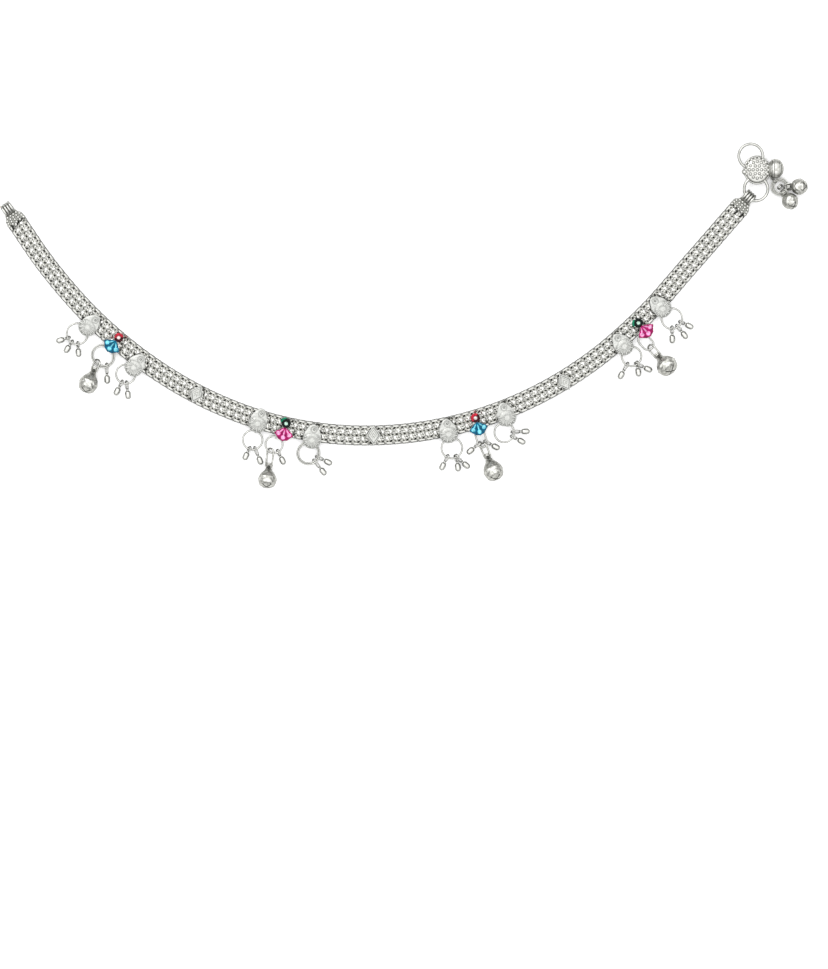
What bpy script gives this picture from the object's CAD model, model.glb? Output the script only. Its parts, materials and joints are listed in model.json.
import json
from math import asin, atan2, cos, degrees, hypot, pi, radians, sin

import bmesh
import bpy
from mathutils import Matrix, Vector


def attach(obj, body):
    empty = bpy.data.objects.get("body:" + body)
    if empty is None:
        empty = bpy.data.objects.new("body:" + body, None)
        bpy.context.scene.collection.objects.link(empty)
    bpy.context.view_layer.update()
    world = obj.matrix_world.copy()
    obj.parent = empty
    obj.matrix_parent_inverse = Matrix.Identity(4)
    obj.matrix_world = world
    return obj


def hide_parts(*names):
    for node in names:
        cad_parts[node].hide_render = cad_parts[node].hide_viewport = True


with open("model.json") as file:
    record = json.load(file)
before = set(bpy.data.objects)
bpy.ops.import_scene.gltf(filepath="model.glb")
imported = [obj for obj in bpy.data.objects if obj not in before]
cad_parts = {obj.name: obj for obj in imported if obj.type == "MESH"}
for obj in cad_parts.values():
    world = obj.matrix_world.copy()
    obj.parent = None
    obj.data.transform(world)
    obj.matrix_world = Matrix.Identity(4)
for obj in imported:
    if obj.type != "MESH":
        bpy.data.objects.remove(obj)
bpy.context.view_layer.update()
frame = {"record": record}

MM = 0.001


# ---- The woven band
# Three rows of curb chain in drawn silver wire, laid side by side and caught in each other by small
# upright rings, like a strap. Every link is twisted a quarter turn, so that it lies in its neighbour,
# and the strap ends under the caps. BAND_LINE is its middle line from the plain end, in mm.
BAND_LINE = [
    (-107.9, 71.9), (-98.5, 58.4), (-86.4, 44.7), (-72.3, 32.9), (-56.5, 23.4), (-39.3, 16.8), (-21.1, 13.55),
    (-2.6, 13.75), (15.55, 17.25), (32.7, 23.9), (48.35, 33.5), (62.3, 45.7), (74.4, 59.25), (88.3, 75.2),
]
BAND_WIDTH, BAND_MIDDLE, END_MARGIN, ARC_STEPS = 5.4, 0.92, 1.1, 240
LINKS, LINK_WIRE, LINK_HALF_WIDTH = 111, 0.42, 0.68
LINK_OVERLAP = 1.3 * LINK_WIRE
ROW_SPACING, ROW_TILT = 1.7, 8
TIE_RADIUS, TIE_WIRE, TIE_TURN, TIE_START, TIE_SINK = 0.62, 0.34, 66, 1.55, 0.03
BACKING_HALF_WIDTH, BACKING_THICKNESS, BACKING_BASE = 2.48, 0.4, 0.2
BACKING_OUT, BACKING_SETBACK = 0.14, 0.2


def trace_line(points, steps=60):
    """The smooth line through the points, as the band lies, with the length run at each of its corners."""
    line = [Vector(p) for p in points]
    line = [2 * line[0] - line[1]] + line + [2 * line[-1] - line[-2]]
    traced = []
    for p0, p1, p2, p3 in zip(line, line[1:], line[2:], line[3:]):
        d0, d1, d2 = ((b - a).length ** 0.5 for a, b in ((p0, p1), (p1, p2), (p2, p3)))
        t1 = ((p1 - p0) / d0 - (p2 - p0) / (d0 + d1) + (p2 - p1) / d1) * d1
        t2 = ((p2 - p1) / d1 - (p3 - p1) / (d1 + d2) + (p3 - p2) / d2) * d1
        for step in range(steps):
            t = step / steps
            cubic = (2 * p1 - 2 * p2 + t1 + t2) * t ** 3 + (-3 * p1 + 3 * p2 - 2 * t1 - t2) * t ** 2
            traced.append(cubic + t1 * t + p1)
    traced.append(line[-2])
    run = [0.0]
    for a, b in zip(traced, traced[1:]):
        run.append(run[-1] + (b - a).length)
    return traced, run


band_corners, band_run = trace_line(BAND_LINE)
BAND_LENGTH = band_run[-1]


def band_point(share):
    """Place and heading on the band's middle line, at a share of its length."""
    wanted = min(max(share, 0.0), 1.0) * BAND_LENGTH
    after = next((i for i, run in enumerate(band_run) if run >= wanted and i), len(band_run) - 1)
    a, b = band_corners[after - 1], band_corners[after]
    along = (wanted - band_run[after - 1]) / (band_run[after] - band_run[after - 1])
    return a + (b - a) * along, (b - a).normalized()


# The band's middle lies on the mount that the record gives for it.
rest_point = Vector(frame["record"]["mounts"][0]["pos_m"][:2]) / MM
LAY = rest_point - band_point(0.5)[0]


def station(share):
    """Stands on the band's middle line: +X runs along the band, -Y points to the charms and +Z is up."""
    middle, heading = band_point(share)
    stand = (middle + LAY) * MM
    return Matrix.Translation((stand.x, stand.y, 0)) @ Matrix.Rotation(atan2(heading.y, heading.x), 4, "Z")


def shift(x, y, z):
    return Matrix.Translation((x * MM, y * MM, z * MM))


def turn(angle, axis):
    return Matrix.Rotation(radians(angle), 4, axis)


def only(obj):
    bpy.ops.object.select_all(action="DESELECT")
    obj.select_set(True)
    bpy.context.view_layer.objects.active = obj
    return obj


def pick(test, kind="verts"):
    """In edit mode, selects just the corners or faces that pass the test, given their middle in mm."""
    obj = bpy.context.edit_object
    mesh = bmesh.from_edit_mesh(obj.data)
    bpy.ops.mesh.select_mode(type="VERT" if kind == "verts" else "FACE")
    for part in (*mesh.verts, *mesh.edges, *mesh.faces):
        part.select = False
    for part in getattr(mesh, kind):
        middle = part.co if kind == "verts" else part.calc_center_median()
        part.select = bool(test(middle / MM))
    mesh.select_flush_mode()
    bmesh.update_edit_mesh(obj.data)


def wire_loop(half_long, half_wide, wire, segments, sides):
    """A closed loop of round wire in the XY plane, drawn out along X or Y where one half is the longer."""
    bend = min(half_long, half_wide)
    bpy.ops.mesh.primitive_torus_add(
        major_segments=segments, minor_segments=sides, major_radius=bend * MM, minor_radius=wire * MM)
    bpy.ops.object.mode_set(mode="EDIT")
    for way in (1, -1):
        pick(lambda at: at.x * way > 1e-3)
        bpy.ops.transform.translate(value=(way * (half_long - bend) * MM, 0, 0))
        pick(lambda at: at.y * way > 1e-3)
        bpy.ops.transform.translate(value=(0, way * (half_wide - bend) * MM, 0))
    bpy.ops.object.mode_set(mode="OBJECT")
    return bpy.context.object


def place(obj, *moves):
    """Carries the object through the moves, last one first, and leaves the place in its mesh."""
    only(obj)
    for move in reversed(moves):
        obj.matrix_world = move @ obj.matrix_world
    bpy.ops.object.transform_apply(location=True, rotation=True, scale=True)
    return obj


def copy_of(obj):
    twin = obj.copy()
    twin.data = obj.data.copy()
    bpy.context.collection.objects.link(twin)
    return twin


def join(*parts):
    only(parts[0])
    for part in parts:
        part.select_set(True)
    bpy.ops.object.join()
    return bpy.context.object


def smooth(obj, angle=40):
    only(obj)
    bpy.ops.object.shade_smooth_by_angle(angle=radians(angle))
    return obj


def apply_modifier(obj, kind, **settings):
    only(obj)
    bpy.ops.object.modifier_add(type=kind)
    added = obj.modifiers[-1]
    for key, value in settings.items():
        setattr(added, key, value)
    bpy.ops.object.modifier_apply(modifier=added.name)


def stands_for(obj, node):
    """The finished piece takes the place of a CAD node and rides on the one rigid body."""
    obj.name = f"{node}_piece"
    obj.data.name = obj.name
    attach(obj, "root")
    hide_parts(node)


def linear(hex_code):
    """An sRGB hex value as the linear colour that a shader takes."""
    channels = [int(hex_code[i:i + 2], 16) / 255 for i in (1, 3, 5)]
    return [c / 12.92 if c <= 0.04045 else ((c + 0.055) / 1.055) ** 2.4 for c in channels] + [1]


def add_node(material, kind, inputs=(), **settings):
    """Adds a node with its settings. An input is a value or another node's output."""
    made = material.node_tree.nodes.new(kind)
    for key, value in settings.items():
        setattr(made, key, value)
    for key, value in dict(inputs).items():
        if isinstance(value, bpy.types.NodeSocket):
            material.node_tree.links.new(value, made.inputs[key])
        else:
            made.inputs[key].default_value = value
    return made


def new_material(name):
    material = bpy.data.materials.new(name)
    material.use_nodes = True
    return material, material.node_tree.nodes["Principled BSDF"]


def shade_ramp(material, factor, *stops):
    ramp = add_node(material, "ShaderNodeValToRGB", {"Fac": factor})
    while len(ramp.color_ramp.elements) < len(stops):
        ramp.color_ramp.elements.new(0.5)
    for element, (at, hex_code) in zip(ramp.color_ramp.elements, stops):
        element.position = at
        element.color = linear(hex_code)
    return ramp.outputs["Color"]


def maths(material, operation, *values):
    """The output of a maths node. Each value is a number or another node's output."""
    return add_node(material, "ShaderNodeMath", dict(enumerate(values)), operation=operation).outputs[0]


def facing_up(material):
    """How far a surface faces up: 1 on its top, 0 on its flanks."""
    normal = add_node(material, "ShaderNodeNewGeometry").outputs["Normal"]
    return add_node(material, "ShaderNodeSeparateXYZ", {"Vector": normal}).outputs["Z"]


def even_metal(name, hex_code, metallic, roughness):
    made, skin = new_material(name)
    skin.inputs["Base Color"].default_value = linear(hex_code)
    skin.inputs["Metallic"].default_value = metallic
    skin.inputs["Roughness"].default_value = roughness
    return made


# Drawn silver wire, tumbled bright: polish stays on what stands high, and a warm grey tarnish stays
# deep between the links and along the strap's two edges.
chain_silver, skin = new_material("Drawn silver wire, tarnished in its hollows")
spot = add_node(chain_silver, "ShaderNodeTexCoord")
depth = add_node(chain_silver, "ShaderNodeSeparateXYZ", {"Vector": spot.outputs["Object"]})
height = add_node(chain_silver, "ShaderNodeMapRange", {
    "Value": depth.outputs["Z"], "From Min": 0.3 * MM, "From Max": 1.5 * MM, "To Max": 0.55})
patches = add_node(chain_silver, "ShaderNodeTexNoise", {
    "Vector": spot.outputs["Object"], "Scale": 0.9 / MM, "Detail": 3.0})
raised = maths(chain_silver, "MULTIPLY_ADD", facing_up(chain_silver), 0.35, height.outputs["Result"])
mottled = maths(chain_silver, "MULTIPLY_ADD", patches.outputs["Fac"], 0.34, raised)
strap_map = add_node(chain_silver, "ShaderNodeSeparateXYZ", {"Vector": spot.outputs["UV"]})
across = maths(chain_silver, "ABSOLUTE", strap_map.outputs["Y"])
edge = add_node(chain_silver, "ShaderNodeMapRange", {
    "Value": across, "From Min": 1.9, "From Max": 2.6, "To Max": 0.42})
level = maths(chain_silver, "SUBTRACT", mottled, edge.outputs["Result"])
tone = shade_ramp(chain_silver, level, (0.34, "#32322e"), (0.5, "#8e8f8a"), (0.66, "#c8c8c3"), (1.0, "#e0e0dc"))
chain_silver.node_tree.links.new(tone, skin.inputs["Base Color"])
skin.inputs["Metallic"].default_value = 1.0
skin.inputs["Roughness"].default_value = 0.27
# Silver sulphide, the near black tarnish that no cloth reaches: it makes the dark dots between the links.
sulphide = even_metal("Silver sulphide between the links", "#4c4d48", metallic=0.5, roughness=0.55)

pitch = (BAND_LENGTH - 2 * END_MARGIN) / (LINKS - 1)


def repeated(link, count):
    """A row of the links, one pitch apart along the strap."""
    apply_modifier(
        link, "ARRAY", count=count, use_relative_offset=False, use_constant_offset=True,
        constant_offset_displace=(pitch * MM, 0, 0))
    return link


link = wire_loop(pitch / 2 + LINK_OVERLAP, LINK_HALF_WIDTH, LINK_WIRE, 14, 5)
apply_modifier(link, "SIMPLE_DEFORM", deform_method="TWIST", deform_axis="X", angle=radians(90))
rows = []
for row in (-1, 0, 1):
    strand = place(
        copy_of(link), shift(END_MARGIN + (1 - row) * pitch / 4, row * ROW_SPACING, BAND_MIDDLE),
        turn(-ROW_TILT * row, "X"))
    rows.append(repeated(strand, LINKS - (row < 1)))
bpy.data.objects.remove(link)
# Small upright rings lie across the two grooves and hold each row to the next.
for groove in (-0.5, 0.5):
    tie = place(wire_loop(TIE_RADIUS, TIE_RADIUS, TIE_WIRE, 14, 6), turn(TIE_TURN, "Z"), turn(90, "X"))
    place(tie, shift(END_MARGIN + (TIE_START - groove) * pitch / 2, groove * ROW_SPACING, BAND_MIDDLE - TIE_SINK))
    rows.append(repeated(tie, LINKS - 1))
for strand in rows:
    strand.data.materials.append(chain_silver)
# Below them the back halves of the links lie so close that they make one dark strip.
bpy.ops.mesh.primitive_grid_add(x_subdivisions=ARC_STEPS, y_subdivisions=2, size=2 * MM)
backing = place(bpy.context.object, shift(BAND_LENGTH / 2, -BACKING_OUT, BACKING_BASE), Matrix.Diagonal(
    (BAND_LENGTH / 2 - BACKING_SETBACK, BACKING_HALF_WIDTH, 1, 1)))
apply_modifier(backing, "SOLIDIFY", thickness=BACKING_THICKNESS * MM, offset=1)
backing.data.materials.append(sulphide)
band = join(*rows, backing)
# The map keeps how far along and across the strap each corner lies, in mm, before it is laid in its arc.
for corner, mapped in zip(band.data.loops, band.data.uv_layers.active.data):
    mapped.uv = band.data.vertices[corner.vertex_index].co.xy / MM
line_data = bpy.data.curves.new("band_line", "CURVE")
line_data.dimensions = "3D"
spline = line_data.splines.new("POLY")
spline.points.add(ARC_STEPS)
for i, point in enumerate(spline.points):
    corner = band_point(i / ARC_STEPS)[0] + LAY
    point.co = (corner.x * MM, corner.y * MM, 0, 1)
band_line = bpy.data.objects.new("band_line", line_data)
bpy.context.collection.objects.link(band_line)
apply_modifier(band, "CURVE", object=band_line, deform_axis="POS_X")
bpy.data.objects.remove(band_line)

# A small soldered ring stands on the band's outer edge wherever a charm hangs. In RINGS are its share
# of the band's length, and the jump ring's reach outward and along the band, as shares of RING_REACH.
RING_WIRE, RING_REACH = 0.25, 2.75
EDGE_LINK_WIRE, RUN_CLEARANCE, FLOOR_GAP = 0.2, 0.2, 0.04
EDGE_LINK_RADIUS = RING_WIRE + RUN_CLEARANCE + EDGE_LINK_WIRE
BELL_LOOP_WIRE, BELL_LOOP_HALF_WIDTH, BELL_LOOP_TILT, BELL_LOOP_SLACK = 0.24, 1.1, 40, 0.4
LINK_HEIGHT = BELL_LOOP_HALF_WIDTH * sin(radians(BELL_LOOP_TILT)) + BELL_LOOP_WIRE + FLOOR_GAP
LINK_OUT = BAND_WIDTH / 2 + RUN_CLEARANCE + RING_WIRE
RINGS = {
    "1a": (0.1432, 1.04, 1.04), "1b": (0.2107, 0.95, 0.95), "2a": (0.3638, 0.96, 0.96), "2b": (0.4245, 1.02, 1.04),
    "3a": (0.5777, 1.0, 1.02), "3b": (0.6358, 0.96, 0.96), "4a": (0.7945, 0.93, 0.97), "4b": (0.854, 1.0, 1.02),
    "1c": (0.1795, 0.95, 1.08), "2c": (0.387, 0.84, 0.84), "3c": (0.6105, 0.84, 0.46), "4c": (0.8163, 0.84, 0.55),
}
edge_links = []
for share, long, wide in RINGS.values():
    edge_link = wire_loop(EDGE_LINK_RADIUS, EDGE_LINK_RADIUS, EDGE_LINK_WIRE, 20, 8)
    edge_link.data.materials.append(chain_silver)
    edge_links.append(place(edge_link, station(share), shift(0, -LINK_OUT, LINK_HEIGHT), turn(90, "Y")))
band = smooth(join(band, *edge_links), 60)
stands_for(band, "woven_band")

# ---- The end caps
# A folded strip of sheet silver grips the chain's end, with rows of grains soldered on it. A coil of
# four wire turns is soldered to its narrow end as the eye, with its axis across the band.
CAP_LENGTH, CAP_WIDTH, CAP_NECK, CAP_HEIGHT = 1.6, 5.7, 3.0, 2.1
CAP_GRIP, CAP_WALL, CAP_BEVEL, SEAT_GAP = 1.5, 0.3, 0.4, 0.3
EYE_WIRE, EYE_RADIUS, EYE_TURNS = 0.37, 1.42, 4
EYE_PLACE = CAP_LENGTH + EYE_RADIUS - EYE_WIRE
GRAIN_ROWS, GRAIN_RADIUS, GRAIN_SINK = (5, 5, 5, 4, 3), 0.46, 0.16
GRAIN_ROW_PITCH, GRAIN_PITCH, GRAIN_NARROWING = 0.72, 1.14, 0.08


def worn_silver(name, per_mm, detail, grain, mottle, up, *stops):
    """Silver that is brightest where it faces up, with a fine mottle. Also its shader, place and noise."""
    silver, skin = new_material(name)
    spot = add_node(silver, "ShaderNodeTexCoord").outputs["Object"]
    noise = add_node(silver, "ShaderNodeTexNoise", {
        "Vector": spot, "Scale": per_mm / MM, "Detail": detail, "Roughness": grain}).outputs["Fac"]
    level = maths(silver, "MULTIPLY_ADD", facing_up(silver), up, maths(silver, "MULTIPLY", noise, mottle))
    silver.node_tree.links.new(shade_ramp(silver, level, *stops), skin.inputs["Base Color"])
    skin.inputs["Metallic"].default_value = 1.0
    return silver, skin, spot, noise


def dent(material, skin, height, strength, depth):
    """Fine dents that follow a pattern, with their depth in mm."""
    bump = add_node(material, "ShaderNodeBump", {"Height": height, "Strength": strength, "Distance": depth * MM})
    material.node_tree.links.new(bump.outputs["Normal"], skin.inputs["Normal"])


# Rolled silver sheet, polished and worn: fine scratches and a soft gloss on what faces up, and a grey
# tarnish on the flanks, where the polishing cloth doesn't reach.
sheet_silver, skin, spot, scratches = worn_silver(
    "Rolled silver sheet, polished and worn", 1.5, 4.0, 0.7, 0.3, 0.82,
    (0.2, "#666763"), (0.6, "#9c9d98"), (0.86, "#c4c4bf"), (1.0, "#dededa"))
rough = add_node(sheet_silver, "ShaderNodeMapRange", {"Value": scratches, "To Min": 0.2, "To Max": 0.36})
sheet_silver.node_tree.links.new(rough.outputs["Result"], skin.inputs["Roughness"])
dent(sheet_silver, skin, scratches, strength=0.25, depth=0.05)
# Silver sulphide, the dull grey tarnish that polishing leaves between grains and in stamped lines.
tarnish = even_metal("Tarnish between grains and in stamped lines", "#989993", metallic=0.6, roughness=0.5)

for side, share, facing in (("left", 0, 180), ("right", 1, 0)):
    bpy.ops.object.select_all(action="DESELECT")
    bpy.ops.mesh.primitive_cube_add(size=2 * MM)
    cap = place(
        bpy.context.object, shift((CAP_LENGTH - CAP_GRIP) / 2, 0, CAP_HEIGHT / 2),
        Matrix.Diagonal(((CAP_LENGTH + CAP_GRIP) / 2, CAP_WIDTH / 2, CAP_HEIGHT / 2, 1)))
    bpy.ops.object.mode_set(mode="EDIT")
    pick(lambda at: at.x > CAP_LENGTH / 2)
    bpy.ops.transform.resize(value=(1, CAP_NECK / CAP_WIDTH, 1))
    # The mouth is hollow as far as the cap reaches back over the chain.
    pick(lambda at: at.x < 0.01 - CAP_GRIP, "faces")
    bpy.ops.mesh.inset(thickness=CAP_WALL * MM)
    bpy.ops.mesh.extrude_region_move(TRANSFORM_OT_translate={"value": (CAP_GRIP * MM, 0, 0)})
    bpy.ops.object.mode_set(mode="OBJECT")
    apply_modifier(cap, "BEVEL", width=CAP_BEVEL * MM, segments=4, limit_method="ANGLE")
    soldered = []
    for i in range(EYE_TURNS):
        coil = wire_loop(EYE_RADIUS, EYE_RADIUS, EYE_WIRE, 32, 12)
        aside = (i - (EYE_TURNS - 1) / 2) * 2 * EYE_WIRE
        soldered.append(place(coil, shift(EYE_PLACE, aside, EYE_RADIUS + EYE_WIRE), turn(90, "X")))
    for row, count in enumerate(GRAIN_ROWS):
        for i in range(count):
            bpy.ops.mesh.primitive_ico_sphere_add(subdivisions=2, radius=GRAIN_RADIUS * MM)
            aside = (i - (count - 1) / 2) * (GRAIN_PITCH - GRAIN_NARROWING * row)
            soldered.append(place(
                bpy.context.object, shift(GRAIN_ROW_PITCH * row - CAP_GRIP, aside, CAP_HEIGHT - GRAIN_SINK)))
    # Tarnish stays between the grains, and what stands up is rubbed bright.
    cap.data.materials.append(tarnish)
    for part in soldered:
        part.data.materials.append(sheet_silver)
    cap = smooth(join(cap, *soldered))
    place(cap, station(share), turn(facing, "Z"), shift(SEAT_GAP, 0, 0))
    stands_for(cap, f"end_cap_{side}")

# ---- The shell plates
# Small plates stamped from sheet silver and soldered on the band in pairs: a ribbed scallop on a thin
# egg-shaped sheet, with a curl of wire round a grain at its narrow head. Pickling leaves them frosted
# white. In SHELLS are the plate's share of the band's length, and how far out it lies in band widths.
SHELL_LENGTH, SHELL_WIDTH, SHELL_SHEET = 6.6, 4.8, 0.3
SCALLOP_HALF_WIDTH, SCALLOP_HALF_LENGTH, SCALLOP_RISE, SCALLOP_COLUMNS = 2.3, 2.1, 0.5, 48
SCALLOP_OUT, SCALLOP_BASE, RIB_RISE = 1.0, 0.4, 0.2
CURL_PLACE, SHELL_EYE_PLACE, SHELL_EYE_RADIUS = (0.15, 1.85, 0.5), (0.2, 1.9, 0.48), 0.34
BAND_THICKNESS = 1.7
PLATE_HEIGHT = max(BAND_THICKNESS + SEAT_GAP, LINK_HEIGHT + EDGE_LINK_RADIUS + EDGE_LINK_WIRE + RUN_CLEARANCE)
SHELLS = {
    "1a": (0.1465, 0.34), "1b": (0.2137, 0.38), "2a": (0.364, 0.04), "2b": (0.4263, 0.24),
    "3a": (0.5775, 0.21), "3b": (0.6442, 0.25), "4a": (0.7955, 0.26), "4b": (0.8548, 0.23),
}

# Stamped silver, whitened by pickling: matt, pale and faintly grainy.
frosted_silver, skin, spot, frost = worn_silver(
    "Stamped silver, pickled white", 2.6, 3.0, 0.5, 0.3, 0.82,
    (0.3, "#4f514e"), (0.7, "#878985"), (0.88, "#afb0ac"), (1.0, "#d0d1cd"))
dent(frosted_silver, skin, frost, strength=0.35, depth=0.05)
skin.inputs["Metallic"].default_value = 0.85
skin.inputs["Roughness"].default_value = 0.42

bpy.ops.object.select_all(action="DESELECT")
bpy.ops.mesh.primitive_uv_sphere_add(segments=SCALLOP_COLUMNS, ring_count=24, radius=1 * MM)
scallop = bpy.context.object
bpy.ops.object.mode_set(mode="EDIT")
bpy.ops.mesh.select_all(action="SELECT")
bpy.ops.mesh.bisect(plane_co=(0, 0, 0), plane_no=(0, 0, 1), clear_inner=True, use_fill=True)
# Ribs: every other pair of columns of faces, from near the middle to near the rim, is drawn up.
pick(lambda at: 0.25 < hypot(at.x, at.y) < 0.9 and at.y < 0.45 and at.z > 0.01
     and int((atan2(at.y, at.x) / (2 * pi) * SCALLOP_COLUMNS) // 1) % 4 < 2, "faces")
bpy.ops.mesh.extrude_region_shrink_fatten(TRANSFORM_OT_shrink_fatten={"value": RIB_RISE * MM})
bpy.ops.object.mode_set(mode="OBJECT")
place(scallop, shift(0, -SCALLOP_OUT, SCALLOP_BASE),
      Matrix.Diagonal((SCALLOP_HALF_WIDTH, SCALLOP_HALF_LENGTH, SCALLOP_RISE, 1)))
apply_modifier(scallop, "SUBSURF", levels=1, render_levels=1)
bpy.ops.mesh.primitive_uv_sphere_add(segments=40, ring_count=20, radius=1 * MM)
sheet = bpy.context.object
bpy.ops.object.mode_set(mode="EDIT")
for low, high, pull in ((0.3, 0.5, 0.92), (0.5, 0.75, 0.86), (0.75, 1.1, 0.82)):
    pick(lambda at: low <= at.y < high)
    bpy.ops.transform.resize(value=(pull, 1, 1), center_override=(0, 0, 0))
bpy.ops.object.mode_set(mode="OBJECT")
place(sheet, shift(0, 0, SHELL_SHEET), Matrix.Diagonal((SHELL_WIDTH / 2, SHELL_LENGTH / 2, SHELL_SHEET, 1)))
curl = place(wire_loop(0.75, 0.8, 0.18, 28, 8), shift(*CURL_PLACE))
bpy.ops.mesh.primitive_uv_sphere_add(segments=16, ring_count=8, radius=SHELL_EYE_RADIUS * MM)
eye = place(bpy.context.object, shift(*SHELL_EYE_PLACE))
# A fine raised line runs round the scallop's foot.
crescent = place(wire_loop(1, 1, 0.07, 40, 8), shift(0, -SCALLOP_OUT - 0.05, SCALLOP_BASE + 0.02),
                 Matrix.Diagonal((SCALLOP_HALF_WIDTH + 0.02, SCALLOP_HALF_LENGTH + 0.05, 2.0, 1)))
shell = smooth(join(scallop, sheet, curl, eye, crescent), 50)
shell.data.materials.append(frosted_silver)
for name, (share, out) in SHELLS.items():
    plate = place(copy_of(shell), station(share), shift(0, -out * BAND_WIDTH, PLATE_HEIGHT))
    stands_for(plate, f"shell_plate_{name}")
bpy.data.objects.remove(shell)

# ---- The kite plates
# Three small diamond plates of sheet silver between the groups of charms, stamped with three nested
# chevrons, pickled and soldered flat. In KITES are the same two shares as in SHELLS.
KITE_WIDTH, KITE_LENGTH, KITE_SHEET, KITE_RIM = 3.9, 5.4, 0.3, 0.24
KITES = {"1": (0.2883, 0), "2": (0.4943, 0), "3": (0.7188, 0.1)}
CHEVRON_HALF_LONG, CHEVRON_HALF_WIDE, CHEVRON_SLOPE = 1.02, 0.1, 58
# Each chevron's reach as a share of the full one, and how far above the middle it lies.
CHEVRONS = ((0.95, 0.7), (0.62, 0.1), (0.34, -0.45))
bpy.ops.object.select_all(action="DESELECT")
bpy.ops.mesh.primitive_cylinder_add(
    vertices=4, radius=1 * MM, depth=KITE_SHEET * MM, location=(0, 0, KITE_SHEET / 2 * MM))
kite = place(bpy.context.object, Matrix.Diagonal((KITE_WIDTH / 2, KITE_LENGTH / 2, 1, 1)))
bpy.ops.object.mode_set(mode="EDIT")
pick(lambda at: at.z > KITE_SHEET - 0.01, "faces")
bpy.ops.mesh.inset(thickness=KITE_RIM * MM)
bpy.ops.mesh.extrude_region_move(TRANSFORM_OT_translate={"value": (0, 0, KITE_SHEET * MM)})
bpy.ops.transform.resize(value=(0.86, 0.88, 1))
bpy.ops.object.mode_set(mode="OBJECT")
apply_modifier(kite, "BEVEL", width=0.1 * MM, segments=2, limit_method="ANGLE")
kite.data.materials.append(frosted_silver)
bars = []
for way in (1, -1):
    for reach, up in CHEVRONS:
        bpy.ops.mesh.primitive_cube_add(size=2 * MM)
        bar = place(
            bpy.context.object, shift(way * 0.52 * reach, up, 0.46), turn(-way * CHEVRON_SLOPE, "Z"),
            Matrix.Diagonal((CHEVRON_HALF_LONG * reach, CHEVRON_HALF_WIDE, 0.16, 1)))
        apply_modifier(bar, "BEVEL", width=0.05 * MM, segments=2)
        bar.data.materials.append(tarnish)
        bars.append(bar)
kite = smooth(join(kite, *bars), 40)
for name, (share, out) in KITES.items():
    plate = place(copy_of(kite), station(share), shift(0, -out * BAND_WIDTH, PLATE_HEIGHT))
    stands_for(plate, f"kite_plate_{name}")
bpy.data.objects.remove(kite)

# ---- The enamel charms
# A round head and a fan of three petals in a tray of sheet silver, filled with coloured glass enamel
# and fired, so that each cell domes up, and soldered on the band. In CHARMS are the same two shares as
# in SHELLS, and the colours of head and fan.
HEAD_DIAMETER, HEAD_RING, HEAD_RING_WIRE, HEAD_BASE = 2.3, 0.86, 0.4, 0.42
PEARL_RADIUS, PEARL_RISE, PEARL_PLACE = 0.56, 0.42, (0, HEAD_DIAMETER / 2 - 0.08, 0.45)
CREST_PLACE, CREST_LEAN, CREST_SIZE = (-0.85, HEAD_DIAMETER / 2 + 0.75, 0.4), 40, (0.95, 0.62, 0.3)
FAN_OUT, TRAY_THICKNESS, GLASS_THICKNESS, GLASS_BASE, GLASS_BEVEL = 1.85, 0.45, 0.3, 0.42, 0.14
TRAY_WIDTH, TRAY_LENGTH, GLASS_WIDTH, GLASS_LENGTH = 5.5, 4.0, 5.4, 3.92
# Between these two angles over the fan's widest part, its edge is drawn in to this share.
FAN_PULLS = ((-80, -50, 0.9), (-50, -20, 0.82), (-20, -8, 0.9), (8, 30, 0.86), (30, 60, 0.76), (60, 80, 0.84))
# Each petal's lean in degrees, and the reach and half length of the drop at its end.
PETALS = ((-39, 2.38, 0.66), (0, 2.76, 0.74), (39, 2.38, 0.66))
PETAL_RISE = 0.2
CHARMS = {
    "1": (0.1800, 0.06, "red", "blue"), "2": (0.3948, 0.05, "green", "pink"),
    "3": (0.6108, 0.14, "red", "blue"), "4": (0.8246, 0.26, "green", "pink"),
}
ENAMELS = {
    "blue": ("#00587a", "#0596ba", "#8ce8fb"), "pink": ("#a00a5c", "#ee50a6", "#ffb8e4"),
    "red": ("#400210", "#c8263c", "#fff0ee"), "green": ("#00110c", "#0a8560", "#c8eedb"),
}
CLOUDED = 0.72

# Fired glass enamel: glossy and deep, darkest along the walls of its cells and palest where it domes up.
enamel_of = {}
for colour, tones in ENAMELS.items():
    for shade, hex_code in zip(("deep", "clear", "pale"), tones):
        glaze, skin = new_material(f"Fired glass enamel, {shade} {colour}")
        spot = add_node(glaze, "ShaderNodeTexCoord").outputs["Object"]
        cloud = add_node(glaze, "ShaderNodeTexNoise", {"Vector": spot, "Scale": 1.4 / MM, "Detail": 3.0})
        darker = "#" + "".join(f"{int(int(hex_code[i:i + 2], 16) * CLOUDED):02x}" for i in (1, 3, 5))
        tone = shade_ramp(glaze, cloud.outputs["Fac"], (0.35, darker), (0.6, hex_code))
        glaze.node_tree.links.new(tone, skin.inputs["Base Color"])
        dent(glaze, skin, cloud.outputs["Fac"], strength=0.3, depth=0.03)
        skin.inputs["Roughness"].default_value = 0.1
        skin.inputs["IOR"].default_value = 1.54
        skin.inputs["Specular IOR Level"].default_value = 0.14
        enamel_of[shade, colour] = glaze


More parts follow.
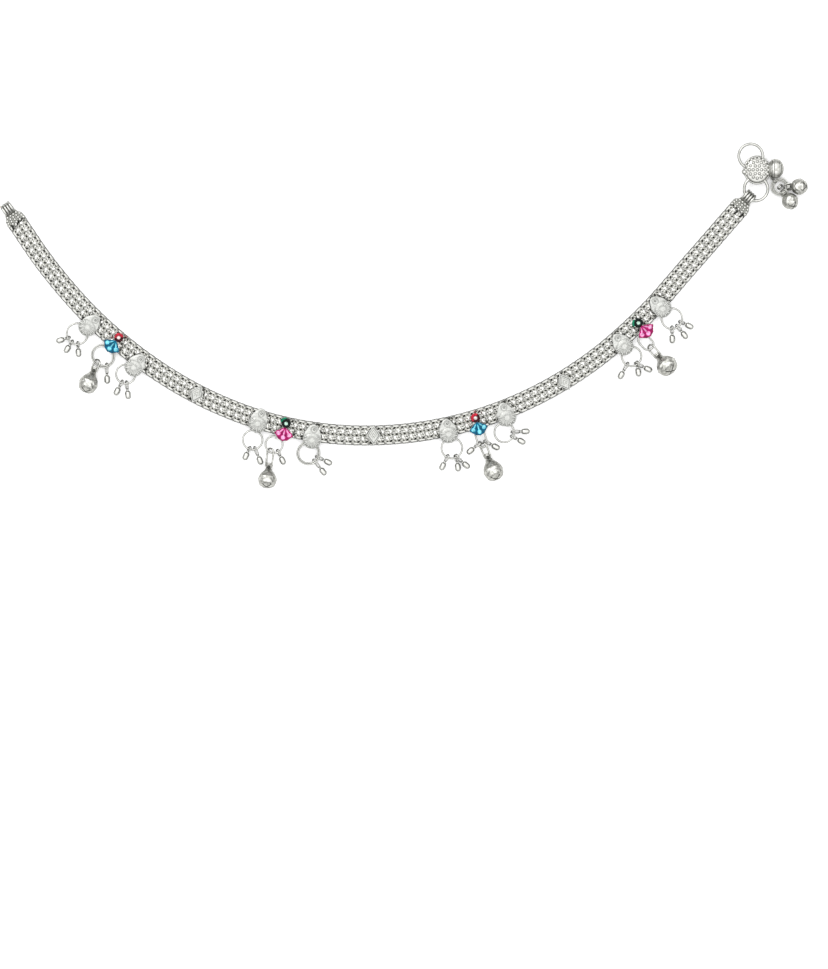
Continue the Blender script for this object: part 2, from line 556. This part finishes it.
def fan_plate(wide, long, thick):
    """A fan-shaped plate on z = 0 with its point at the top and its widest part at the origin."""
    bpy.ops.object.select_all(action="DESELECT")
    bpy.ops.mesh.primitive_cylinder_add(
        vertices=32, radius=1 * MM, depth=thick * MM, location=(0, 0, thick / 2 * MM))
    plate = place(bpy.context.object)
    bpy.ops.object.mode_set(mode="EDIT")
    for low, high, pull in FAN_PULLS:
        pick(lambda at: low < degrees(atan2(at.y, abs(at.x))) < high and hypot(at.x, at.y) > 0.5)
        bpy.ops.transform.resize(value=(pull, pull, 1), center_override=(0, 0, 0))
    bpy.ops.object.mode_set(mode="OBJECT")
    return place(plate, Matrix.Diagonal((wide / 2, long / 2, 1, 1)))


def domed(size, material, *moves, segments=24):
    """A flat dome of enamel with these half sizes."""
    bpy.ops.mesh.primitive_uv_sphere_add(segments=segments, ring_count=segments // 2, radius=1 * MM)
    cell = place(bpy.context.object, *moves, Matrix.Diagonal((*size, 1)))
    cell.data.materials.append(material)
    return cell


for name, (share, out, head_colour, fan_colour) in CHARMS.items():
    tray = place(fan_plate(TRAY_WIDTH, TRAY_LENGTH, TRAY_THICKNESS), shift(0, -FAN_OUT, 0))
    tray.data.materials.append(sheet_silver)
    glass = fan_plate(GLASS_WIDTH, GLASS_LENGTH, GLASS_THICKNESS)
    apply_modifier(
        glass, "BEVEL", width=GLASS_BEVEL * MM, segments=3, limit_method="ANGLE", angle_limit=radians(50))
    place(glass, shift(0, -FAN_OUT, GLASS_BASE))
    glass.data.materials.append(enamel_of["deep", fan_colour])
    parts = [tray, glass]
    # Each of the three petals is a narrow streak from the point and a broad drop at its end, both with
    # a pale dome on a clear one. Their sizes are the half width, the half length, the reach and the height.
    for lean, reach, long in PETALS:
        for half_wide, half_long, middle, top, shade in (
                (0.74, long, reach, 0.64, "clear"), (0.58, long * 0.8, reach, 0.7, "pale"),
                (0.3, reach * 0.42, reach * 0.58, 0.66, "clear"), (0.19, reach * 0.34, reach * 0.6, 0.72, "pale")):
            size = (half_wide, half_long, PETAL_RISE)
            parts.append(domed(size, enamel_of[shade, fan_colour], turn(lean, "Z"), shift(0, -middle, top)))
    if head_colour == "green":
        clear = enamel_of["clear", head_colour]
        parts.append(domed(CREST_SIZE, clear, shift(*CREST_PLACE), turn(CREST_LEAN, "Z"), segments=20))
    ring = place(wire_loop(HEAD_RING, HEAD_RING, HEAD_RING_WIRE, 32, 14), shift(0, HEAD_DIAMETER / 2, HEAD_BASE))
    ring.data.materials.append(enamel_of["deep", head_colour])
    ring.data.materials.append(enamel_of["clear", head_colour])
    # A red head is clear red on its upper left half.
    bpy.ops.object.mode_set(mode="EDIT")
    pick(lambda at: head_colour == "red" and at.y - at.x > HEAD_DIAMETER / 2, "faces")
    ring.active_material_index = 1
    bpy.ops.object.material_slot_assign()
    bpy.ops.object.mode_set(mode="OBJECT")
    pearl = domed((PEARL_RADIUS, PEARL_RADIUS, PEARL_RISE), enamel_of["pale", head_colour], shift(*PEARL_PLACE))
    charm = smooth(join(*parts, ring, pearl), 50)
    place(charm, station(share), shift(0, -out * BAND_WIDTH, PLATE_HEIGHT))
    stands_for(charm, f"enamel_charm_{name}")

# ---- The jump rings
# Rings of round drawn silver wire, sprung open and closed again through the band's edge links. Two of
# them go round twice.
DOUBLED_RINGS, DOUBLED_WIRE, DOUBLED_GAPS = ("1c", "2b"), 0.2, (-0.2, 0.22)

# Drawn silver wire, worn dull by rubbing: mid grey, with a narrow bright line along its top.
wire_silver, skin, *_ = worn_silver(
    "Drawn silver wire, worn dull", 1.2, 3.0, 0.5, 0.3, 0.82,
    (0.2, "#585955"), (0.6, "#8c8d88"), (0.9, "#b8b8b3"), (1.0, "#dadad6"))
skin.inputs["Roughness"].default_value = 0.3

for name, (share, long, wide) in RINGS.items():
    reach_out, reach_along = long * RING_REACH, wide * RING_REACH
    wire, gaps = (DOUBLED_WIRE, DOUBLED_GAPS) if name in DOUBLED_RINGS else (RING_WIRE, (0,))
    rounds = [wire_loop(reach_along + gap, reach_out + gap, wire, 48, 10) for gap in gaps]
    ring = smooth(join(*rounds), 60)
    place(ring, station(share), shift(0, -(LINK_OUT + reach_out), LINK_HEIGHT))
    ring.data.materials.append(wire_silver)
    stands_for(ring, f"jump_ring_{name}")

# ---- The drops
# Small capsule beads pressed from thin silver tube, each soldered by a collar to its own loop of thin
# wire, and hung in twos and threes. In DROPS are the ring, and for each bead where its loop holds the
# ring and where it points, in degrees from straight out, and its share of DROP_HANG.
LOOP_WIRE, LOOP_HALF_WIDTH, LOOP_TILT, LOOP_SLACK = 0.19, 0.66, 60, 0.16
BEAD_RADIUS, BEAD_LENGTH, BEAD_NECK, DROP_HANG = 0.8, 2.4, 0.25, 2.6
COLLAR_RADIUS, COLLAR_LENGTH, COLLAR_GAP = 0.3, 0.5, 0.2
DROPS = {
    "1a_1": ("1a", [(-23, -28, 0.79)]), "1a_2": ("1a", [(11, 11, 0.8)]), "1a_3": ("1a", [(48, 48, 0.86)]),
    "1b_1": ("1b", [(10, 10, 1.0)]), "1b_2": ("1b", [(43, 43, 1.15)]), "1c_1": ("1c", [(58, 42, 1.4)]),
    "2a_1": ("2a", [(-4, -8, 0.8)]), "2a_2": ("2a", [(34, 39, 1.25)]), "2b_1": ("2b", [(46, 48, 1.35)]),
    "2b_2": ("2b", [(76, 73, 1.15)]), "2c_1": ("2c", [(44, 40, 0.98)]), "3a_1": ("3a", [(-39, -39, 1.05)]),
    "3a_2": ("3a", [(15, -5, 1.06), (15, 38, 1.3)]), "3b_1": ("3b", [(43, 43, 1.0)]),
    "3b_2": ("3b", [(74, 72, 1.2)]), "3c_1": ("3c", [(-62, -66, 1.1)]), "3c_2": ("3c", [(58, 46, 1.1)]),
    "4a_1": ("4a", [(-70, -70, 1.2)]), "4a_2": ("4a", [(-4, -34, 0.86), (-4, 24, 1.24)]),
    "4b_1": ("4b", [(21, 18, 0.92)]), "4b_2": ("4b", [(-11, -9, 1.1)]), "4b_3": ("4b", [(-46, -46, 1.05)]),
}


def on_ring(half_out, half_side, start, turned, lean):
    """At the wire of a ring in the XY plane, with +X pointing along lean. Angles in degrees from start."""
    held = Vector((half_out * cos(radians(turned)), half_side * sin(radians(turned)), 0)) * MM
    return turn(start, "Z") @ Matrix.Translation(held) @ turn(lean, "Z")


for name, (ring, hung) in DROPS.items():
    share, long, wide = RINGS[ring]
    reach_out, reach_along = long * RING_REACH, wide * RING_REACH
    parts = []
    for turned, lean, hang_share in hung:
        hang = hang_share * DROP_HANG
        far = hang - BEAD_LENGTH / 2 - BEAD_NECK
        near = -(RING_WIRE + RUN_CLEARANCE + LOOP_SLACK + LOOP_WIRE)
        loop = wire_loop((far - near) / 2, LOOP_HALF_WIDTH, LOOP_WIRE, 24, 8)
        place(loop, turn(LOOP_TILT, "X"), shift((far + near) / 2, 0, 0))
        loop.data.materials.append(wire_silver)
        bpy.ops.mesh.primitive_uv_sphere_add(segments=20, ring_count=12, radius=BEAD_RADIUS * MM)
        bead = bpy.context.object
        bead.data.materials.append(sheet_silver)
        bpy.ops.object.mode_set(mode="EDIT")
        for way in (1, -1):
            pick(lambda at: at.z * way > 0.01)
            bpy.ops.transform.translate(value=(0, 0, way * (BEAD_LENGTH / 2 - BEAD_RADIUS) * MM))
        bpy.ops.object.mode_set(mode="OBJECT")
        place(bead, shift(hang, 0, 0), turn(90, "Y"))
        bpy.ops.mesh.primitive_cylinder_add(vertices=16, radius=COLLAR_RADIUS * MM, depth=COLLAR_LENGTH * MM)
        collar = place(bpy.context.object, shift(far + COLLAR_GAP, 0, 0), turn(90, "Y"))
        collar.data.materials.append(sheet_silver)
        drop = join(loop, bead, collar)
        dip = degrees(asin((LINK_HEIGHT - BEAD_RADIUS - FLOOR_GAP) / (hang + BEAD_LENGTH / 2)))
        parts.append(place(drop, on_ring(reach_out, reach_along, -90, turned, lean), turn(dip, "Y")))
    drop = smooth(join(*parts), 50)
    place(drop, station(share), shift(0, -(LINK_OUT + reach_out), LINK_HEIGHT))
    stands_for(drop, f"drop_{name}")

# ---- The bells
# Hollow pear-shaped bells raised from thin sheet silver and beaten into facets, with a cross slit in
# the mouth. Three wraps of wire bind each to its oval loop, which is round the ring's wire, and the
# bell lies on its belly. In BELLS are the ring, the two angles as in DROPS, and shares of the sizes.
BELL_LENGTH, BELL_WIDTH, BELL_HANG, BELL_SHEET, BELL_FACETS = 6.2, 5.3, 6.0, 0.3, 12
BELL_TIERS = 14
SLIT_IN, SLIT_HALF_WIDE, SLIT_HALF_THIN, SLIT_HALF_DEEP = 0.06, 0.32, 0.027, 0.15
WRAPS, WRAP_WIRE, WRAP_START, WRAP_PITCH = 3, 0.2, 0.25, 0.42
JOINT_RADIUS, JOINT_BACK, JOINT_UP = 0.45, 0.1, 1.0
# The share of the length from the crown, and the radius there as a share of the largest.
PEAR = [(0, 0), (0.01, 0.26), (0.18, 0.42), (0.38, 0.8), (0.6, 1.0), (0.82, 0.88), (1, 0)]
BALL = [(0, 0), (0.04, 0.36), (0.2, 0.8), (0.42, 1.0), (0.62, 1.0), (0.86, 0.7), (1, 0)]
BELLS = {
    "1": ("1c", 0, 19, 0.86, 1.05, 1.0), "2": ("2c", -12, 8, 1.12, 0.93, 0.98),
    "3": ("3c", 0, 5, 1.03, 1.08, 1.04), "4": ("4c", 0, -3, 0.92, 0.95, 1.12),
}

# Thin raised silver, beaten and worn bright in patches: grey in its dents, under the belly and in the neck.
bell_silver, skin, spot, _ = worn_silver(
    "Raised silver sheet, worn bright", 1.1, 4.0, 0.65, 0.95, 0.45,
    (0.3, "#74746e"), (0.66, "#9c9c96"), (0.88, "#c2c2bc"), (1.0, "#e8e8e4"))
hammered = add_node(bell_silver, "ShaderNodeTexVoronoi", {"Vector": spot, "Scale": 0.9 / MM})
dent(bell_silver, skin, hammered.outputs["Distance"], strength=0.6, depth=0.2)
skin.inputs["Roughness"].default_value = 0.34


def radius_at(profile, along):
    """The bell's radius at a share of its length, rounded between the steps of its profile."""
    for (a, low), (b, high) in zip(profile, profile[1:]):
        if a <= along <= b:
            if b == 1:
                return low * (max(0.0, 1 - ((along - a) / (b - a)) ** 2)) ** 0.5
            ease = (along - a) / (b - a)
            return low + (high - low) * (ease * ease * (3 - 2 * ease) * 0.4 + ease * 0.6)
    return 0.0


def make_bell(profile, length, width, hang, facets):
    """A bell along +X hung at the origin: hollow faceted body, cross slit, soldered wraps and loop."""
    room = LINK_HEIGHT - FLOOR_GAP
    rise = max(atan2(r * width / 2, a * length) - asin(room / hypot(r * width / 2, a * length))
               for a, r in profile if r * width / 2 > room)
    crown = hang - length / 2 * cos(rise)
    bpy.ops.object.select_all(action="DESELECT")
    bpy.ops.mesh.primitive_uv_sphere_add(segments=facets, ring_count=BELL_TIERS, radius=1 * MM)
    body = bpy.context.object
    bpy.ops.object.mode_set(mode="EDIT")
    for tier in range(1, BELL_TIERS):
        polar = pi * tier / BELL_TIERS
        wanted = radius_at(profile, (1 - cos(polar)) / 2) * width / 2 / sin(polar)
        pick(lambda at: abs(at.z - cos(polar)) < 1e-3)
        bpy.ops.transform.resize(value=(wanted, wanted, 1), center_override=(0, 0, cos(polar) * MM))
        if tier % 2:
            bpy.ops.transform.rotate(value=pi / facets, orient_axis="Z", center_override=(0, 0, 0))
    bpy.ops.mesh.select_all(action="SELECT")
    bpy.ops.transform.resize(value=(1, 1, length / 2), center_override=(0, 0, 0))
    bpy.ops.object.mode_set(mode="OBJECT")
    apply_modifier(body, "TRIANGULATE")
    apply_modifier(body, "SOLIDIFY", thickness=BELL_SHEET * MM, offset=-1)
    for facing in (45, 135):
        bpy.ops.mesh.primitive_cube_add(size=2 * MM)
        slit = place(
            bpy.context.object, turn(facing, "Z"), shift(0, 0, -length / 2 + length * SLIT_IN),
            Matrix.Diagonal((width * SLIT_HALF_WIDE, width * SLIT_HALF_THIN, length * SLIT_HALF_DEEP, 1)))
        apply_modifier(body, "BOOLEAN", object=slit, operation="DIFFERENCE", solver="EXACT")
        bpy.data.objects.remove(slit)
    place(body, shift(crown, 0, 0), turn(-degrees(rise), "Y"), shift(length / 2, 0, 0), turn(-90, "Y"))
    far = crown + BELL_LOOP_WIRE
    near = -(RING_WIRE + RUN_CLEARANCE + BELL_LOOP_SLACK + BELL_LOOP_WIRE)
    loop = wire_loop((far - near) / 2, BELL_LOOP_HALF_WIDTH, BELL_LOOP_WIRE, 32, 10)
    place(loop, turn(BELL_LOOP_TILT, "X"), shift((far + near) / 2, 0, 0))
    wraps = []
    for i in range(WRAPS):
        wrap = wire_loop(0.62, 0.72, WRAP_WIRE, 32, 10)
        wraps.append(place(wrap, shift(crown - WRAP_START - WRAP_PITCH * i, 0, 0.05), turn(90, "Y")))
    # Flux and tarnish stay dark in the joint between the loop and the bell.
    bpy.ops.mesh.primitive_ico_sphere_add(subdivisions=3, radius=JOINT_RADIUS * MM)
    joint = place(bpy.context.object, shift(crown - JOINT_BACK, 0, JOINT_UP))
    joint.data.materials.append(sulphide)
    for part in (body, loop, *wraps):
        part.data.materials.append(bell_silver)
    return smooth(join(body, loop, joint, *wraps), 12)


for name, (ring, turned, lean, hang, long_share, wide_share) in BELLS.items():
    share, long, wide = RINGS[ring]
    reach_out, reach_along = long * RING_REACH, wide * RING_REACH
    bell = make_bell(PEAR, long_share * BELL_LENGTH, wide_share * BELL_WIDTH, hang * BELL_HANG, BELL_FACETS)
    place(bell, station(share), shift(0, -(LINK_OUT + reach_out), LINK_HEIGHT),
          on_ring(reach_out, reach_along, -90, turned, lean))
    stands_for(bell, f"bell_{name}")

# ---- The hook
# One length of silver wire bent into an S: the lower ring is closed through the cap's eye, and the
# upper one is the hook. A dome dotted with grains, a banded side lobe and a knob are soldered over the
# crossing, and a small bail below them holds the clasp ring. Places are from the lower ring's middle.
HOOK_WIRE, HOOK_RING, HOOK_LOOP, HOOK_LIE = 0.4, 3.2, 3.25, -48.9
LOOP_START, LOOP_SWEEP = -38, -280
LOOP_PLACE, DOME_PLACE, KNOB_PLACE, LOBE_PLACE = (-1.4, 8.9), (0.3, 5.1), (-3.1, 4.6), (5.3, 5.5)
DOME_WIDTH, DOME_LENGTH, DOME_RISE, DOME_BACK = 6.9, 7.3, 1.25, 1.3
LOBE_WIDTH, LOBE_LENGTH, LOBE_RISE, LOBE_OVERLAP = 4.0, 5.2, 1.7, 0.4
KNOB_RADIUS = 0.75
# Rings of grains on the dome: each ring's share of the dome's radius, and its count.
DOME_GRAINS = ((0.0, 1), (0.32, 6), (0.61, 12), (0.87, 18))
DOME_GRAIN_RADIUS, DOME_GRAIN_SINK = 0.5, 0.14
# The raised bands on the lobe, as shares of its half width from its middle.
LOBE_BANDS, LOBE_BAND_WIRE = (-0.8, -0.5, -0.2, 0.6), 0.09
CLASP_RING_REACH, CLASP_RING_PLACE, BAIL_TURN = 2.15, (6.5, 0.6), 135
STRAP_RADIUS, STRAP_APART, STRAP_FLATNESS = 0.26, 0.3, 2.6
EYE_HEIGHT = EYE_RADIUS + EYE_WIRE
bow = (EYE_TURNS * EYE_WIRE) ** 2 / (2 * HOOK_RING)
clasp = station(1) @ shift(SEAT_GAP + EYE_PLACE + HOOK_RING - bow / 2, 0, EYE_HEIGHT) @ turn(HOOK_LIE, "Z")

lower = wire_loop(HOOK_RING, HOOK_RING, HOOK_WIRE, 64, 14)
bpy.ops.mesh.primitive_circle_add(vertices=14, radius=HOOK_WIRE * MM, rotation=(pi / 2, 0, 0))
upper = place(bpy.context.object, turn(LOOP_START, "Z"), shift(HOOK_LOOP, 0, 0))
bpy.ops.object.mode_set(mode="EDIT")
bpy.ops.mesh.select_all(action="SELECT")
bpy.ops.mesh.spin(steps=56, angle=radians(LOOP_SWEEP), center=(0, 0, 0), axis=(0, 0, 1))
bpy.ops.mesh.select_all(action="SELECT")
bpy.ops.mesh.remove_doubles(threshold=0.001 * MM)
bpy.ops.mesh.select_mode(type="EDGE")
bpy.ops.mesh.select_all(action="DESELECT")
bpy.ops.mesh.select_non_manifold()
bpy.ops.mesh.fill_holes(sides=0)
bpy.ops.mesh.select_all(action="SELECT")
bpy.ops.mesh.normals_make_consistent(inside=False)
bpy.ops.object.mode_set(mode="OBJECT")
place(upper, shift(*LOOP_PLACE, 0))


def soldered_dome(width, length, rise):
    """A domed stamping with a flat rim, proud to both sides of the wire."""
    bpy.ops.mesh.primitive_uv_sphere_add(segments=48, ring_count=24, radius=1 * MM)
    made = bpy.context.object
    bpy.ops.object.mode_set(mode="EDIT")
    pick(lambda at: at.z > 0.001)
    bpy.ops.transform.resize(value=(1, 1, rise), center_override=(0, 0, 0))
    pick(lambda at: at.z < -0.001)
    bpy.ops.transform.resize(value=(0.9, 0.9, DOME_BACK), center_override=(0, 0, 0))
    bpy.ops.object.mode_set(mode="OBJECT")
    return place(made, Matrix.Diagonal((width / 2, length / 2, 1, 1)))


dome = place(soldered_dome(DOME_WIDTH, DOME_LENGTH, DOME_RISE), shift(*DOME_PLACE, 0))
lobe = place(soldered_dome(LOBE_WIDTH + LOBE_OVERLAP, LOBE_LENGTH, LOBE_RISE), shift(*LOBE_PLACE, 0))
bpy.ops.mesh.primitive_uv_sphere_add(segments=24, ring_count=12, radius=KNOB_RADIUS * MM)
knob = place(bpy.context.object, shift(*KNOB_PLACE, 0))
grains = []
for ring, count in DOME_GRAINS:
    for i in range(count):
        around = 2 * pi * (i + 0.5 * (count % 2)) / count
        # The outermost ring stops where the dome's foot is smooth.
        if ring > 0.7 and sin(around) < -0.55:
            continue
        x, y = ring * cos(around) * DOME_WIDTH / 2, ring * sin(around) * DOME_LENGTH / 2
        z = DOME_RISE * (1 - ring ** 2) ** 0.5 - DOME_GRAIN_SINK
        bpy.ops.mesh.primitive_ico_sphere_add(subdivisions=2, radius=DOME_GRAIN_RADIUS * MM)
        grains.append(place(bpy.context.object, shift(DOME_PLACE[0] + x, DOME_PLACE[1] + y, z)))
rim = place(wire_loop(0.97, 0.97, 0.1, 48, 8), shift(*DOME_PLACE, 0),
            Matrix.Diagonal((DOME_WIDTH / 2, DOME_LENGTH / 2, 2.5, 1)))
aim = Vector((cos(radians(BAIL_TURN)), sin(radians(BAIL_TURN))))
bail_place = Vector(CLASP_RING_PLACE) + CLASP_RING_REACH * aim
bail = place(wire_loop(EDGE_LINK_RADIUS, EDGE_LINK_RADIUS, EDGE_LINK_WIRE, 20, 8),
             shift(*bail_place, LINK_HEIGHT - EYE_HEIGHT), turn(BAIL_TURN, "Z"), turn(90, "X"))
# Two short straps run up from the bail to where dome and lobe meet.
strap_foot = bail_place + EDGE_LINK_RADIUS * aim
strap_top = Vector((
    (DOME_PLACE[0] + DOME_WIDTH / 2 + LOBE_PLACE[0] - LOBE_WIDTH / 2) / 2, (DOME_PLACE[1] + LOBE_PLACE[1]) / 2))
strap_run = strap_top - strap_foot
raised = []
for side in (-STRAP_APART, STRAP_APART):
    bpy.ops.mesh.primitive_cylinder_add(vertices=12, radius=STRAP_RADIUS * MM, depth=1 * MM)
    raised.append(place(
        bpy.context.object, shift(strap_foot.x + side, strap_foot.y, 0.1),
        turn(degrees(atan2(strap_run.y, strap_run.x)) - 90, "Z"), shift(0, strap_run.length / 2, 0),
        turn(90, "X"), Matrix.Diagonal((1, STRAP_FLATNESS, strap_run.length * 1.05, 1))))
for side in LOBE_BANDS:
    narrowing = (1 - side ** 2) ** 0.5
    ridge = place(wire_loop(1, 1, LOBE_BAND_WIRE, 40, 8), turn(90, "Y"))
    raised.append(place(
        ridge, shift(LOBE_PLACE[0] + side * LOBE_WIDTH / 2, LOBE_PLACE[1], 0.2),
        Matrix.Diagonal((1.2, narrowing * LOBE_LENGTH / 2, narrowing * (LOBE_RISE - 0.15), 1))))
for part in (lower, upper, bail):
    part.data.materials.append(wire_silver)
for part in (dome, knob, rim, *grains, *raised):
    part.data.materials.append(sheet_silver)
lobe.data.materials.append(bell_silver)
hook = smooth(join(lower, upper, dome, lobe, knob, rim, bail, *grains, *raised), 50)
place(hook, clasp)
stands_for(hook, "clasp_hook")

# ---- The clasp ring and its two bells
# A jump ring of thin silver wire, three times round, through the hook's bail, with a small closed loop
# tucked inside. Two small round bells, made like the pear-shaped ones, hang from it.
CLASP_WIRE, CLASP_GAPS = 0.18, (-0.57, -0.2, 0.17)
TUCKED_RADIUS, TUCKED_WIRE = 0.7, 0.24
CLASP_BELL, CLASP_BELL_HANG, CLASP_BELL_FACETS = 4.5, 2.8, 10
on_clasp = clasp @ shift(*CLASP_RING_PLACE, LINK_HEIGHT - EYE_HEIGHT)
rounds = [wire_loop(CLASP_RING_REACH + gap, CLASP_RING_REACH + gap, CLASP_WIRE, 48, 10) for gap in CLASP_GAPS]
tucked = place(wire_loop(TUCKED_RADIUS, TUCKED_RADIUS, TUCKED_WIRE, 28, 10), turn(40, "Z"), turn(55, "X"))
ring = smooth(place(join(*rounds, tucked), on_clasp), 60)
ring.data.materials.append(wire_silver)
stands_for(ring, "clasp_ring")
for name, turned, hang in (("1", 0, 1.05), ("2", -56, 0.91)):
    bell = make_bell(BALL, CLASP_BELL, CLASP_BELL, hang * CLASP_BELL_HANG, CLASP_BELL_FACETS)
    place(bell, on_clasp, on_ring(CLASP_RING_REACH, CLASP_RING_REACH, 0, turned, turned))
    stands_for(bell, f"clasp_bell_{name}")

# ---- The set
# A sheet of white card under soft studio light, seen from straight above.
bpy.ops.object.select_all(action="DESELECT")
bpy.ops.mesh.primitive_plane_add(size=4, location=(0, 0, 0))
floor = bpy.context.object
floor.name = "white_card"
card, skin = new_material("White card, matt")
spot = add_node(card, "ShaderNodeTexCoord").outputs["Object"]
fibres = add_node(card, "ShaderNodeTexNoise", {"Vector": spot, "Scale": 0.3 / MM})
tone = shade_ramp(card, fibres.outputs["Fac"], (0.2, "#fafafa"), (0.8, "#ffffff"))
card.node_tree.links.new(tone, skin.inputs["Base Color"])
skin.inputs["Roughness"].default_value = 0.9
skin.inputs["Emission Color"].default_value = (1, 1, 1, 1)
skin.inputs["Emission Strength"].default_value = 0.3
floor.data.materials.append(card)

world = bpy.data.worlds.new("studio")
bpy.context.scene.world = world
world.use_nodes = True
world.node_tree.nodes["Background"].inputs["Color"].default_value = (1, 1, 1, 1)
world.node_tree.nodes["Background"].inputs["Strength"].default_value = 0.3
for name, stand, size, power in (
        ("softbox", (0.0, 0.0, 1.7), 6.0, 108.0), ("key", (-0.5, 0.7, 0.9), 0.25, 2.0)):
    lamp_data = bpy.data.lights.new(name, "AREA")
    lamp_data.shape = "DISK"
    lamp_data.size = size
    lamp_data.energy = power
    lamp = bpy.data.objects.new(name, lamp_data)
    lamp.location = stand
    lamp.rotation_euler = (-Vector(stand)).to_track_quat("-Z", "Y").to_euler()
    bpy.context.collection.objects.link(lamp)

# The camera looks straight down on the middle of the picture, from far off.
PICTURE_WIDTH, CAMERA_HEIGHT, SENSOR_WIDTH = 223.56, 1.5, 36
camera_data = bpy.data.cameras.new("camera")
camera_data.sensor_fit = "HORIZONTAL"
camera_data.sensor_width = SENSOR_WIDTH
camera_data.lens = SENSOR_WIDTH * CAMERA_HEIGHT / (PICTURE_WIDTH * MM)
camera_data.clip_end = 10
camera = bpy.data.objects.new("camera", camera_data)
camera.location = (LAY.x * MM, LAY.y * MM, CAMERA_HEIGHT)
bpy.context.collection.objects.link(camera)
bpy.context.scene.camera = camera
bpy.context.scene.view_settings.view_transform = "Standard"
